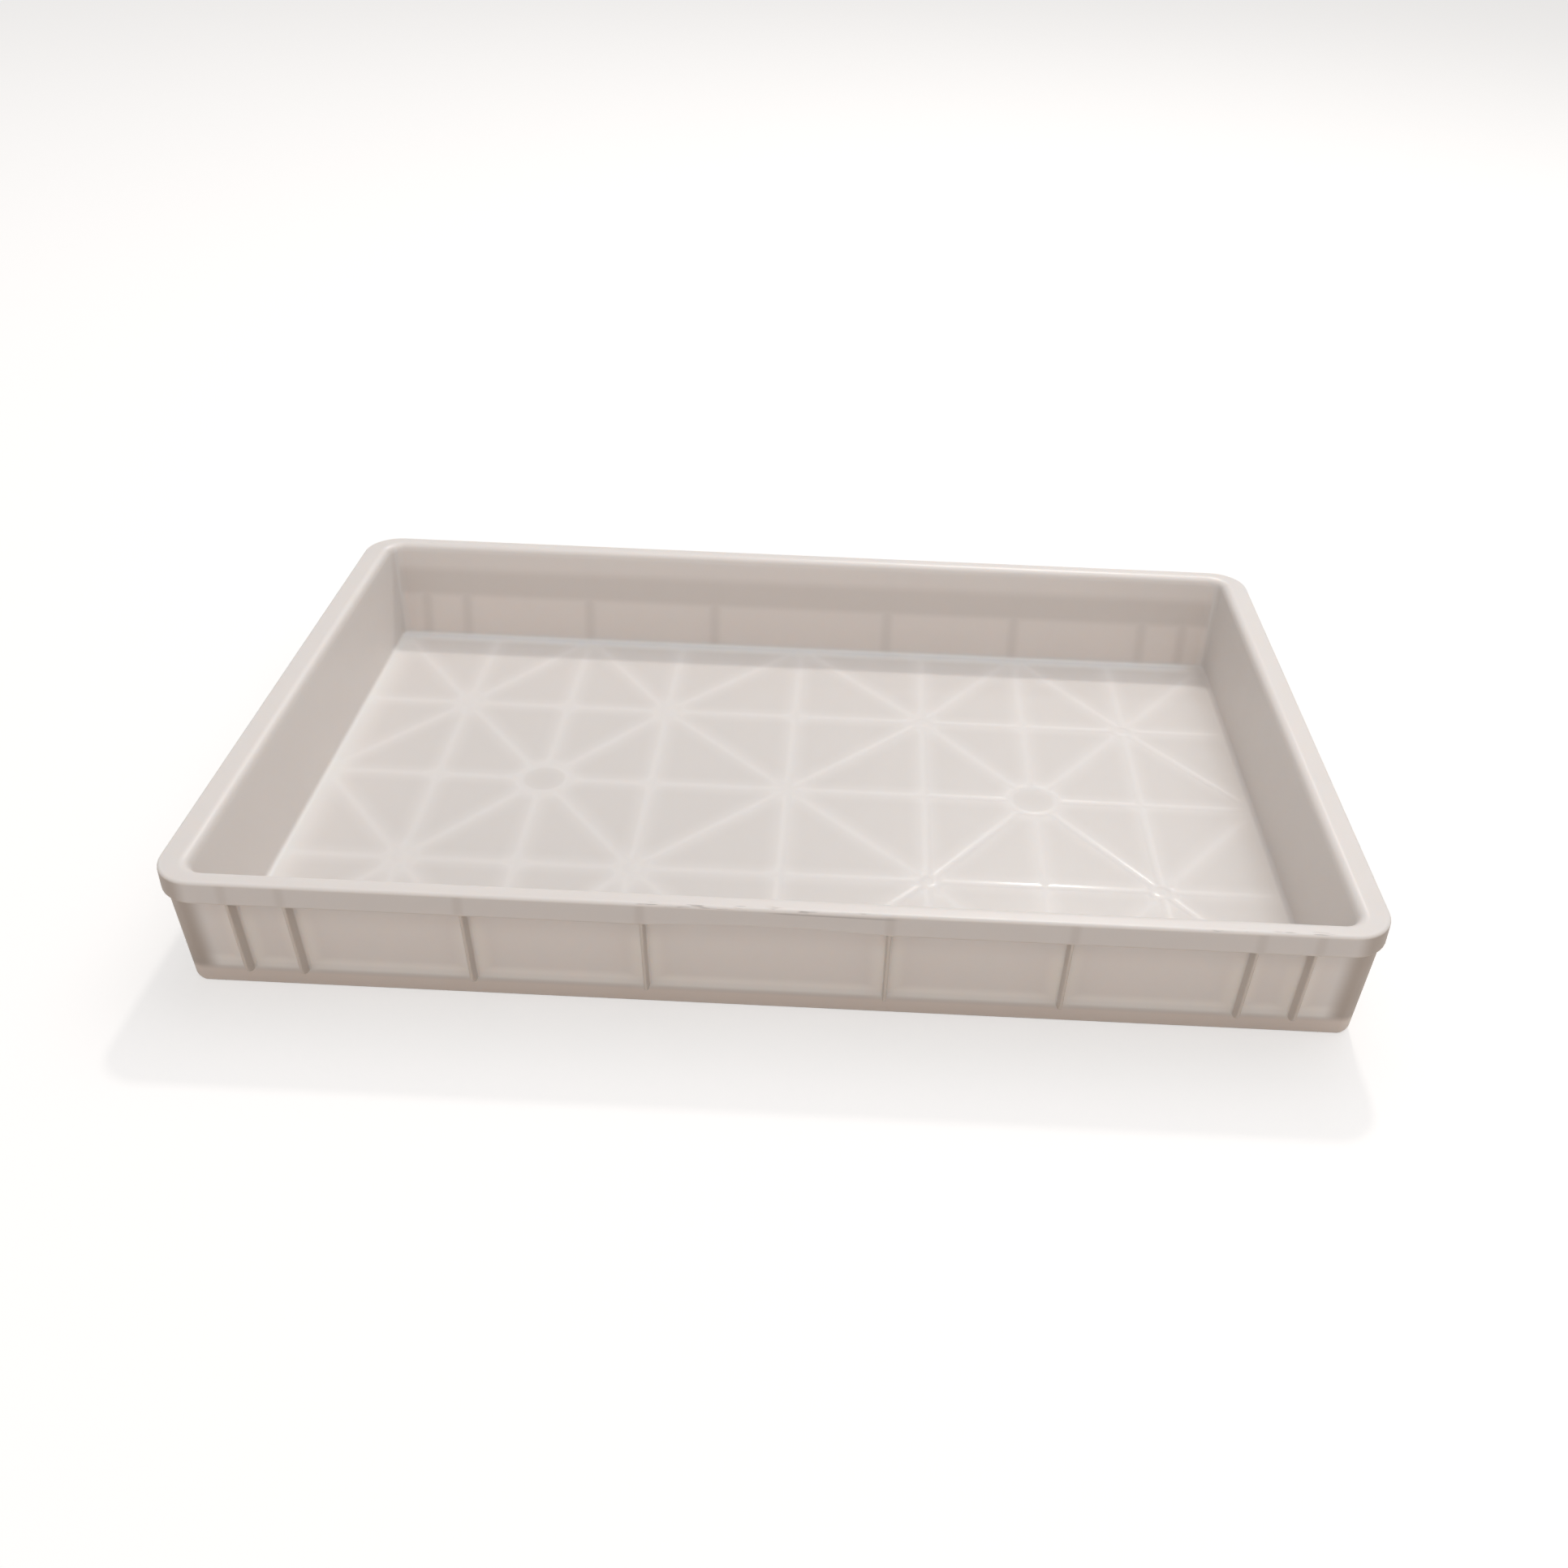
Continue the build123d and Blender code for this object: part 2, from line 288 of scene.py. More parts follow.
def foot_edges(points):
    """Rounding of the walls' lower edge: wide where a column faces the tray's end."""
    start = COLUMN_X - COLUMN_CORNER
    across = smooth(np.abs(points[:, 0]), start, start + 5 * MM)
    on_column = across * smooth(np.abs(points[:, 1]), COLUMN_END_Y, COLUMN_END_Y + 4 * MM)
    return FOOT_EDGE + (COLUMN_FOOT_EDGE - FOOT_EDGE) * on_column


def outside_rings():
    """Behind the apron, under the flange and down the outside of the walls to their feet.

    Where a column stands close behind the apron the two grow together just above the apron's edge.
    """
    behind = apron_ring(FLANGE_BASE)
    low = APRON_BOTTOM + APRON_EDGE_RADIUS + arch(behind)
    wide = np.linalg.norm(behind - outer_wall(behind[:, 2]), axis=1)
    ceiling = mixed(low + CLOSED_RISE, FLANGE_BASE, smooth(wide, 0, CLOSED_WIDTH))
    behind = at_heights(behind, ceiling)
    under = outer_wall(ceiling)
    gap = behind - under
    width = np.linalg.norm(gap[:, :2], axis=1)
    direction = gap / np.maximum(width, 1e-9)[:, None]
    bend = np.minimum(ROOT_FILLET, width * 0.4)
    rings = [at_heights(behind, mixed(low, ceiling - bend, 0.5))]
    for share in steps(4):
        turn = share * pi / 2
        level = behind - direction * (bend * (1 - cos(turn)))[:, None]
        rings.append(at_heights(level, ceiling - bend * (1 - sin(turn))))
    for share in steps(4):
        turn = share * pi / 2
        level = under + direction * (bend * (1 - sin(turn)))[:, None]
        rings.append(at_heights(level, ceiling - bend * (1 - cos(turn))))
    edge = foot_edges(under)
    for share in steps(14)[1:-1]:
        rings.append(outer_wall(mixed(ceiling - bend, edge, share ** 1.5)))
    for share in steps(4):
        turn = share * pi / 2
        rings.append(outer_wall(edge * (1 - sin(turn)), edge * (1 - cos(turn))))
    return rings


def skirt_rings():
    """From the feet of the walls up to the underside of the floor."""
    rings = []
    for share in steps(4):
        turn = share * pi / 2
        rings.append(inner_ring(FOOT_EDGE * (1 - cos(turn)), -FOOT_EDGE * (1 - sin(turn))))
    high = FLOOR_UNDER - ROOT_FILLET
    rings.append(inner_ring(mixed(FOOT_EDGE, high, 0.5)))
    for share in steps(4):
        turn = share * pi / 2
        rings.append(inner_ring(high + ROOT_FILLET * sin(turn), ROOT_FILLET * (1 - cos(turn))))
    return rings


# --- The lattice under the floor ----------------------------------------------------------
def middle(node, axis):
    low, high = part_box(node)
    return (low[axis] + high[axis]) / 2


def line_places(prefix, axis):
    return sorted(middle(node, axis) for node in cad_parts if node.startswith(prefix))


def lattice_lines():
    """x of the cross ribs and y of the long ribs, each list closed by the walls' inner feet."""
    across = line_places("cross_floor_rib_", 0)
    along = line_places("long_floor_rib_", 1)
    return [-FOOT_X, *across, FOOT_X], [-FOOT_Y, *along, FOOT_Y]


def lattice_circles():
    """Centre and middle radius of the round walls: two hubs, and a boss at every star point."""
    circles = []
    for node in ("left_floor_hub", "right_floor_hub"):
        low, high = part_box(node)
        radius = (high.x - low.x) / 2 - RIB_ROOT
        circles.append(((low.x + high.x) / 2, (low.y + high.y) / 2, radius))
    lines_x, lines_y = lattice_lines()
    low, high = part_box("floor_star_bosses")
    radius = high.y - lines_y[-2]
    for x in (lines_x[1], lines_x[3], lines_x[5], lines_x[7]):
        for y in (lines_y[1], lines_y[3]):
            circles.append((x, y, radius - RIB_ROOT))
    return circles


def lattice_bars():
    """Straight ribs from crossing to crossing, and a diagonal from each star into each cell."""
    xs, ys = lattice_lines()
    bars = []
    for x in xs[1:-1]:
        bars += [((x, ys[i]), (x, ys[i + 1])) for i in range(len(ys) - 1)]
    for y in ys[1:-1]:
        bars += [((xs[i], y), (xs[i + 1], y)) for i in range(len(xs) - 1)]
    for star in (1, 3, 5, 7):
        for row in (1, 3):
            for side in (-1, 1):
                for turn in (-1, 1):
                    bars.append(((xs[star], ys[row]), (xs[star + side], ys[row + turn])))
    return bars


def circle_at(point, circles):
    for x, y, radius in circles:
        if hypot(point[0] - x, point[1] - y) < 1 * MM:
            return radius
    return 0.0


def on_wall(point):
    gaps = abs(abs(point[0]) - FOOT_X), abs(abs(point[1]) - FOOT_Y)
    return min(gaps) < TOUCHING


# --- The floor, with a faint sink mark over every rib -------------------------------------
def distance_to_bar(x, y, bar):
    (ax, ay), (bx, by) = bar
    length = (bx - ax) ** 2 + (by - ay) ** 2
    share = np.clip(((x - ax) * (bx - ax) + (y - ay) * (by - ay)) / length, 0, 1)
    return np.hypot(x - ax - share * (bx - ax), y - ay - share * (by - ay))


def sink(x, y, bars, circles):
    """How far the floor sinks at a point."""
    nearest = np.full(np.shape(x), 1.0)
    for bar in bars:
        nearest = np.minimum(nearest, distance_to_bar(x, y, bar))
    for cx, cy, radius in circles:
        from_centre = np.hypot(x - cx, y - cy)
        nearest = np.where(from_centre < radius, 1.0, nearest)
        nearest = np.minimum(nearest, np.abs(from_centre - radius))
    share = np.clip(nearest / SINK_WIDTH, 0, 1)
    return SINK_DEPTH * (1 - share ** 2) ** 2


def floor_surface(edge):
    """Flat sheet inside the edge ring, cut along the ribs so that the sink marks follow them."""
    bars = lattice_bars()
    circles = lattice_circles()
    points = [Vector(p[:2]) for p in edge]
    links = [(i, (i + 1) % len(edge)) for i in range(len(edge))]
    limit_x = abs(edge[:, 0]).max() - SINK_END
    limit_y = abs(edge[:, 1]).max() - SINK_END
    offsets = [SINK_WIDTH * k / SINK_ROWS for k in range(-SINK_ROWS, SINK_ROWS + 1)]
    for (ax, ay), (bx, by) in bars:
        length = hypot(bx - ax, by - ay)
        along = ((bx - ax) / length, (by - ay) / length)
        for offset in offsets:
            chain = []
            for x, y in ((ax, ay), (bx, by)):
                chain.append([x - along[1] * offset, y + along[0] * offset])
            clipped = clip(chain, limit_x, limit_y)
            if clipped:
                links.append((len(points), len(points) + 1))
                points += [Vector(p) for p in clipped]
    for cx, cy, radius in circles:
        for offset in offsets:
            count = HUB_SINK_STEPS if radius > HUB_SIZE else BOSS_SINK_STEPS
            start = len(points)
            for i in range(count):
                angle = 2 * pi * i / count
                out = radius + offset
                points.append(Vector((cx + out * cos(angle), cy + out * sin(angle))))
                links.append((start + i, start + (i + 1) % count))
    verts, _, faces, origins, _, _ = delaunay_2d_cdt(points, links, [], 1, 1e-6)
    coords = np.array([(v.x, v.y, FLOOR_TOP) for v in verts])
    source = [min((i for i in o if i < len(edge)), default=-1) for o in origins]
    inside = np.array([s < 0 for s in source])
    depth = sink(coords[:, 0], coords[:, 1], bars, circles)
    coords[:, 2] -= np.where(inside, depth, 0)
    return coords, faces, source


def clip(chain, limit_x, limit_y):
    """Part of a straight chain of two points that lies inside the box, or None."""
    (ax, ay), (bx, by) = chain
    low, high = 0.0, 1.0
    for a, b, limit in ((ax, bx, limit_x), (ay, by, limit_y)):
        for sign in (-1, 1):
            start = limit - sign * a
            slope = sign * (b - a)
            if slope > 0:
                high = min(high, start / slope)
            elif slope < 0:
                low = max(low, start / slope)
            elif start < 0:
                return None
    if high - low < 1e-3:
        return None
    return [(ax + (bx - ax) * t, ay + (by - ay) * t) for t in (low, high)]


def shell_mesh():
    """Walls and rim as quads between rings, closed by the floor's two faces."""
    rings = well_rings() + rim_rings() + outside_rings() + skirt_rings()
    count = len(rings[0])
    verts = np.concatenate(rings)
    faces = []
    for level in range(len(rings) - 1):
        for i in range(count):
            j = (i + 1) % count
            a, b = level * count, (level + 1) * count
            faces.append((a + j, a + i, b + i, b + j))
    coords, floor_faces, source = floor_surface(rings[0])
    base = len(verts)
    index = [s if s >= 0 else base + i for i, s in enumerate(source)]
    verts = np.concatenate([verts, coords])
    faces += [tuple(index[i] for i in face) for face in floor_faces]
    last = (len(rings) - 1) * count
    faces.append(tuple(last + i for i in reversed(range(count))))
    return new_mesh("tray_shell", verts, faces)


# --- Solids that join the shell -----------------------------------------------------------
def new_mesh(name, verts, faces):
    mesh = bpy.data.meshes.new(name)
    mesh.from_pydata([tuple(v) for v in verts], [], faces)
    bm = bmesh.new()
    bm.from_mesh(mesh)
    bmesh.ops.delete(bm, geom=[v for v in bm.verts if not v.link_faces], context="VERTS")
    bmesh.ops.remove_doubles(bm, verts=bm.verts, dist=1e-7)
    bmesh.ops.recalc_face_normals(bm, faces=bm.faces)
    bm.to_mesh(mesh)
    bm.free()
    return mesh


def lofted(name, sections):
    """Closed solid through sections that have the same number of points."""
    count = len(sections[0])
    verts = np.concatenate([np.array(s, float) for s in sections])
    faces = [tuple(range(count)), tuple(reversed(range(len(verts) - count, len(verts))))]
    for level in range(len(sections) - 1):
        for i in range(count):
            j = (i + 1) % count
            a, b = level * count, (level + 1) * count
            faces.append((a + i, a + j, b + j, b + i))
    return new_mesh(name, verts, faces)


def rib_section(depth):
    """Half widths of a rib by its distance out from the surface that it stands on."""
    points = [(-SUNK, RIB_ROOT + RIB_FILLET)]
    for share in steps(3):
        turn = share * pi / 2
        out = RIB_FILLET * (1 - cos(turn))
        points.append((out, RIB_ROOT + RIB_FILLET * (1 - sin(turn))))
    for share in steps(3):
        turn = share * pi / 2
        points.append((depth - RIB_TIP * (1 - sin(turn)), RIB_TIP * cos(turn) + TIP_FLAT))
    return points


def floor_bar(number, bar, circles):
    """One rib under the floor, from one crossing to the next."""
    (ax, ay), (bx, by) = bar
    length = hypot(bx - ax, by - ay)
    ux, uy = (bx - ax) / length, (by - ay) / length
    profile = rib_section(FLOOR_UNDER)
    outline = [(half, down) for down, half in profile]
    outline += [(-half, down) for half, down in reversed(outline)]
    ends = []
    for point, sign in (((ax, ay), -1), ((bx, by), 1)):
        end = []
        for across, down in outline:
            z = FLOOR_UNDER - down
            if on_wall(point):
                reach = wall_reach(point, (ux * sign, uy * sign), z)
            else:
                reach = CROSSING - circle_at(point, circles)
            end.append((point[0] + ux * sign * reach - uy * across,
                        point[1] + uy * sign * reach + ux * across, z))
        ends.append(end)
    return lofted(f"floor_bar_{number}", ends)


def wall_reach(point, direction, z):
    """How far past a bar's end point the inside of the wall's thickness lies, along the bar."""
    for axis, half, inner in ((0, FOOT_X, inner_x), (1, FOOT_Y, inner_y)):
        if abs(abs(point[axis]) - half) < TOUCHING:
            side = 1 if point[axis] > 0 else -1
            return (side * (inner(z) + SUNK) - point[axis]) / direction[axis]
    return 0.0


def round_wall(number, circle):
    """A hub or boss: a round rib under the floor."""
    cx, cy, radius = circle
    profile = rib_section(FLOOR_UNDER)
    outline = [(half, down) for down, half in profile]
    outline += [(-half, down) for half, down in reversed(outline)]
    count = HUB_STEPS if radius > HUB_SIZE else BOSS_STEPS
    verts = []
    for i in range(count):
        angle = 2 * pi * i / count
        for across, down in outline:
            r = radius + across
            verts.append((cx + r * cos(angle), cy + r * sin(angle), FLOOR_UNDER - down))
    faces = []
    size = len(outline)
    for i in range(count):
        a, b = i * size, (i + 1) % count * size
        for k in range(size):
            m = (k + 1) % size
            faces.append((a + k, a + m, b + m, b + k))
    return new_mesh(f"round_wall_{number}", verts, faces)


def wall_rib(name, place, foot, wall, tip, apron, turn):
    """One upright rib outside a wall, made along +Y and then turned to its wall.

    wall and tip are the distances of the wall's face and of the rib's free edge from the middle,
    each as its value at the underside and its lean. foot is the height where the rib starts.
    """
    levels = [foot + RIB_FOOT_RISE * share for share in steps(6)]
    levels += [mixed(levels[-1], APRON_BOTTOM - 1 * MM, share) for share in steps(3)[1:]]
    levels += [APRON_BOTTOM + 1 * MM, FLANGE_BASE - 1 * MM, FLANGE_BASE + SUNK]
    sections = []
    for z in levels:
        face = wall[0] + wall[1] * z
        full = tip[0] + tip[1] * z - face
        share = min((z - foot) / RIB_FOOT_RISE, 1.0)
        depth = full * sqrt(1 - (1 - share) ** 2)
        if z > APRON_BOTTOM:
            depth = apron + SUNK - face
        scale = max((depth + SUNK) / (full + SUNK), LEAST_DEPTH)
        profile = [((out + SUNK) * scale - SUNK, half) for out, half in rib_section(full)]
        outline = [(half, out) for out, half in profile]
        outline += [(-half, out) for half, out in reversed(outline)]
        sections.append([(place + across, face + out, z) for across, out in outline])
    mesh = lofted(name, sections)
    mesh.transform(Matrix.Rotation(turn, 4, "Z"))
    return mesh


def prism_places(node, axis):
    """Middles of a node's prisms, from the coordinates that their flat sides share."""
    values = sorted({round(v.co[axis], 5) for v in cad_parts[node].data.vertices})
    return [(values[i] + values[i + 1]) / 2 for i in range(0, len(values), 2)]


def wall_ribs():
    long_wall = (inner_y(0) + WALL, DRAFT_Y)
    long_tip = (long_wall[0] + LONG_RIB_DEPTH, DRAFT_Y)
    end_wall = (inner_x(0) + WALL, DRAFT_X)
    end_tip = (COLUMN_X - COLUMN_GAP, 0.0)
    meshes = []
    for node, sign, turn in (("rear_wall_ribs", 1, 0.0), ("front_wall_ribs", -1, pi)):
        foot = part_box(node)[0].z
        for x in prism_places(node, 0):
            meshes.append(wall_rib(node, x * sign, foot, long_wall, long_tip, APRON_INNER_Y, turn))
    for node, sign, turn in (("left_wall_ribs", 1, pi / 2), ("right_wall_ribs", -1, -pi / 2)):
        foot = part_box(node)[0].z
        for y in prism_places(node, 1):
            meshes.append(wall_rib(node, y * sign, foot, end_wall, end_tip, APRON_INNER_X, turn))
    return meshes


def column_pocket(side_x, side_y):
    """Core pocket inside a corner column, open at the underside."""
    sections = []
    for z in (-1 * MM, FLANGE_BASE - 1 * MM):
        low_x, high_x = inner_x(z) + WALL, COLUMN_X - COLUMN_GAP - COLUMN_SKIN
        low_y, high_y = COLUMN_END_Y + COLUMN_SKIN, inner_y(z) + WALL - COLUMN_SKIN
        low_x, high_x = low_x + POCKET_CORNER, high_x - POCKET_CORNER
        low_y, high_y = low_y + POCKET_CORNER, high_y - POCKET_CORNER
        centres = [(high_x, high_y), (low_x, high_y), (low_x, low_y), (high_x, low_y)]
        section = []
        for quarter, (cx, cy) in enumerate(centres):
            for share in steps(4):
                angle = pi / 2 * (quarter + share)
                x, y = cx + POCKET_CORNER * cos(angle), cy + POCKET_CORNER * sin(angle)
                section.append((x * side_x, y * side_y, z))
        sections.append(section)
    return lofted("pocket", sections)


# --- Joining ------------------------------------------------------------------------------
def placed(mesh):
    obj = bpy.data.objects.new(mesh.name, mesh)
    bpy.context.scene.collection.objects.link(obj)
    return obj


def combined(base, operands, operation):
    """base with every operand joined to it or cut from it."""
    obj = placed(base)
    tools = [placed(mesh) for mesh in operands]
    for tool in tools:
        modifier = obj.modifiers.new("join", "BOOLEAN")
        modifier.operation = operation
        modifier.solver = "MANIFOLD"
        modifier.object = tool
    bpy.context.view_layer.update()
    evaluated = obj.evaluated_get(bpy.context.evaluated_depsgraph_get())
    result = bpy.data.meshes.new_from_object(evaluated)
    for item in [obj, *tools]:
        bpy.data.objects.remove(item)
    return result


def tray_mesh():
    circles = lattice_circles()
    bars = [floor_bar(i, bar, circles) for i, bar in enumerate(lattice_bars())]
    rings = [round_wall(i, circle) for i, circle in enumerate(circles)]
    lattice = combined(bars[0], bars[1:] + rings, "UNION")
    ribs = wall_ribs()
    shell = combined(shell_mesh(), [lattice, *ribs], "UNION")
    pockets = [column_pocket(x, y) for x in (-1, 1) for y in (-1, 1)]
    return combined(shell, pockets, "DIFFERENCE")


# --- Material -----------------------------------------------------------------------------
PANEL = (0.800, 0.765, 0.735)           # thin plastic
LINE = (0.905, 0.870, 0.845)            # painted light over a rib, which sends the light back
SHADED = (0.715, 0.665, 0.625)          # inside, where the apron keeps the light off the wall
OUTSIDE = (0.828, 0.790, 0.760)         # outside of a wall with the well behind it, painted lighter for the light coming through
HALO = (0.900, 0.868, 0.835)            # painted light at the edges of the outside panels
APRON = (0.745, 0.705, 0.675)           # outside of the apron; also the painted shade it throws on the wall below
RIM = (0.885, 0.845, 0.815)             # top of the rim, painted lighter for the light the thick plastic sends back
FOOT = (0.985, 0.952, 0.922)            # floor at the walls' feet, where light comes in from behind
SCRATCH_AND_CREASE_SHADE = (0.420, 0.390, 0.370)           # scratches, and the painted shade of a crease, at the front of the rim
DULL = (0.530, 0.465, 0.415)            # painted shade: outside of the columns, where no light comes through; also lines on the apron
RIB = (0.660, 0.600, 0.550)             # ribs outside the walls, painted darker where no light comes through them
LONG_WALL = (0.840, 0.795, 0.760)       # inside of the long walls, painted lighter for the light coming through them
SKIRT = (0.800, 0.715, 0.655)           # outside below the floor, painted shade where no light comes through from the well


class Nodes:
    """Short names for the shader nodes that the material is made of."""

    def __init__(self, tree):
        self.tree = tree

    def add(self, kind, inputs=(), **settings):
        node = self.tree.nodes.new(kind)
        for name, value in settings.items():
            setattr(node, name, value)
        for key, value in dict(inputs).items():
            if isinstance(value, bpy.types.NodeSocket):
                self.tree.links.new(value, node.inputs[key])
            else:
                node.inputs[key].default_value = value
        return node

    def math(self, operation, *values, clamp=False):
        inputs = dict(enumerate(values))
        node = self.add("ShaderNodeMath", inputs, operation=operation, use_clamp=clamp)
        return node.outputs[0]

    def product(self, first, *others):
        for other in others:
            first = self.math("MULTIPLY", first, other)
        return first

    def vector(self, operation, a, b=(0, 0, 0), output="Vector"):
        return self.add("ShaderNodeVectorMath", {0: a, 1: b}, operation=operation).outputs[output]

    def fade(self, value, near, far):
        """1 up to near, 0 beyond far, smooth between."""
        inputs = {"Value": value, "From Min": near, "From Max": far, "To Min": 1.0, "To Max": 0.0}
        node = self.add("ShaderNodeMapRange", inputs, interpolation_type="SMOOTHSTEP")
        return node.outputs["Result"]

    def rise(self, value, low, high):
        """0 up to low, 1 beyond high, smooth between."""
        return self.fade(value, high, low)

    def blend(self, share, a, b):
        """a where share is 0, b where it is 1."""
        return self.math("ADD", a, self.product(share, self.math("SUBTRACT", b, a)))

    def mix(self, share, a, b):
        node = self.add("ShaderNodeMix", data_type="RGBA")
        for socket, value in zip((node.inputs[i] for i in (0, 6, 7)), (share, a, b)):
            if isinstance(value, bpy.types.NodeSocket):
                self.tree.links.new(value, socket)
            else:
                socket.default_value = (*value, 1) if isinstance(value, tuple) else value
        return node.outputs[2]

    def noise(self, coordinates, scale, detail=3.0, roughness=0.55):
        inputs = {"Vector": coordinates, "Scale": scale, "Detail": detail, "Roughness": roughness}
        return self.add("ShaderNodeTexNoise", inputs).outputs["Fac"]


def nearest(n, values):
    smallest = values[0]
    for value in values[1:]:
        smallest = n.math("MINIMUM", smallest, value)
    return smallest


def gap_to(n, value, place):
    return n.math("ABSOLUTE", n.math("SUBTRACT", value, place))


# A rib shows through the floor as a bright line with a wide faint edge, painted light in the
# colour.
LINE_SHARE = 0.75                       # how strongly all of them show
LINE_CORE = (4.5 * MM, 0.4)             # half width and strength of the bright middle
LINE_EDGE = (12 * MM, 0.6)              # and of the faint edge
HUB_STRENGTH = 0.8                      # of the line over a hub
HUB_CLEAR = 4 * MM                      # the lines end this far inside a hub
BOSS_CLEAR = 0.4                        # or at this share of a boss's radius
BOSS_KEEPS = 0.5                        # share of the lines left inside a boss
BOSS_LINE = (0.3 * MM, 3 * MM)          # where the line over a boss's wall thins and ends
MOST_RIB = 1.05                         # where many lines cross


def soft_line(n, distance):
    parts = [n.product(n.fade(distance, 0.0, reach), strength)
             for reach, strength in (LINE_CORE, LINE_EDGE)]
    return n.math("ADD", *parts)


def over_floor_ribs(n, folded_x, folded_y):
    """How much rib lies under each point of the floor, which is the same in its four quarters."""
    xs, ys = lattice_lines()
    xs = [x for x in xs if x > -1 * MM]
    ys = [y for y in ys if y > -1 * MM]
    flat = n.add("ShaderNodeCombineXYZ", {"X": folded_x, "Y": folded_y}).outputs[0]
    distances = [gap_to(n, folded_x, x) for x in xs] + [gap_to(n, folded_y, y) for y in ys]
    for star in (1, 3):
        for side in (-1, 1):
            for end_y in (ys[0], ys[2]):
                end = (xs[star + side], end_y)
                distances.append(distance_along(n, flat, (xs[star], ys[1]), end))
    total = 0.0
    for distance in distances:
        total = n.math("ADD", total, soft_line(n, distance))
    for cx, cy, radius in lattice_circles():
        if cx > 0 and cy > -1 * MM:
            from_centre = n.vector("DISTANCE", flat, (cx, cy, 0), "Value")
            kept = n.fade(from_centre, radius, max(radius - HUB_CLEAR, BOSS_CLEAR * radius))
            from_ring = gap_to(n, from_centre, radius)
            if radius > HUB_SIZE:
                line = n.product(soft_line(n, from_ring), HUB_STRENGTH)
            else:
                kept = n.math("MULTIPLY_ADD", kept, 1 - BOSS_KEEPS, BOSS_KEEPS)
                line = n.fade(from_ring, *BOSS_LINE)
            total = n.math("ADD", n.product(total, kept), line)
    return n.math("MINIMUM", total, MOST_RIB)


def distance_along(n, flat, start, end):
    """Distance to the straight stretch between two points."""
    length = hypot(end[0] - start[0], end[1] - start[1])
    unit = ((end[0] - start[0]) / length, (end[1] - start[1]) / length, 0)
    offset = n.vector("SUBTRACT", flat, (*start, 0))
    share = n.vector("DOT_PRODUCT", offset, unit, "Value")
    share = n.add("ShaderNodeClamp", {"Value": share, "Min": 0.0, "Max": length}).outputs[0]
    scaled = n.add("ShaderNodeVectorMath", {0: unit, "Scale": share}, operation="SCALE").outputs[0]
    return n.vector("DISTANCE", offset, scaled, "Value")


# Each pair below says where a change of colour starts and where it ends. The shares say how
# much of the new colour there is at most.
THROUGH_WALL = (0.35 * WALL, 0.65 * WALL)       # from the inner face, well side to outside
LIP_HEIGHTS = (HEIGHT - 4.5 * MM, HEIGHT - 2.5 * MM)
LIP_SHIFT = 4 * MM                              # the lip curves out past the wall's face
LONG_PANELS_END = (FOOT_X - 2 * MM, FOOT_X + 8 * MM)             # at the columns
END_PANELS_END = (COLUMN_END_Y - 2 * MM, COLUMN_END_Y + 3 * MM)

AT_WALL = (-2.5 * MM, -1 * MM)                  # just before the wall's inner face
WALL_FOOT = (FLOOR_TOP, FLOOR_TOP + 3 * MM)
LONG_WALL_FOOT = (FLOOR_TOP, FLOOR_TOP + 5 * MM)
APRON_SHADE_LOW = (41 * MM, 47 * MM)            # lower edge of the apron's shadow
APRON_SHADE_HIGH = (58 * MM, 66 * MM)           # and its upper edge
APRON_SHADE_SHARE = 0.6
RIB_SHADE = (0.5 * MM, 6 * MM)                  # from the middle of a rib behind the wall
RIB_SHADE_HIGH = (45 * MM, 70 * MM)             # where a rib's shadow runs out at the top
RIB_SHADE_SHARE = 0.45
END_SHADE_SHARE = 0.4                           # all over the end walls
RIM_FROM_WELL = (HEIGHT - 3 * MM, HEIGHT - 0.3 * MM)

FLOOR_HEIGHTS = (8 * MM, 13.5 * MM)             # the floor's edge, seen from outside; the painted shade below the floor ends here
PANEL_FOOT = 15.5 * MM                          # height where the outside panels start
FOOT_HALO = (1.5 * MM, 7 * MM)                  # from the panels' feet
RIB_HALO = (2.5 * MM, 11 * MM)                  # from the middle of a rib
# Painted shade on the wall's outside, under the apron.
UNDER_APRON = (42 * MM, 60 * MM)
UNDER_APRON_SHARE = 0.6
APRON_EDGE = (APRON_BOTTOM - 2 * MM, APRON_BOTTOM)
APRON_OUT = (WALL + 2 * MM, WALL + 5 * MM)      # from the wall's inner face
APRON_RIB_SHADE = (0.5 * MM, 4 * MM)                       # painted shade on the apron, over the middle of a rib behind it
APRON_RIB_SHADE_SHARE = 0.25
# Painted shade along the apron's lower edge.
EDGE_LINE = (APRON_BOTTOM + 0.4 * MM, APRON_BOTTOM + 1.6 * MM)
EDGE_LINE_SHARE = 0.5
RIB_OUT = (WALL + 0.5 * MM, WALL + 2.5 * MM)    # from the wall's inner face
RIB_HEAD = (APRON_BOTTOM, APRON_BOTTOM + 1 * MM)
RIB_FOOT = (5 * MM, 13 * MM)
RIM_FROM_OUTSIDE = (HEIGHT - 2 * MM, HEIGHT - 0.4 * MM)


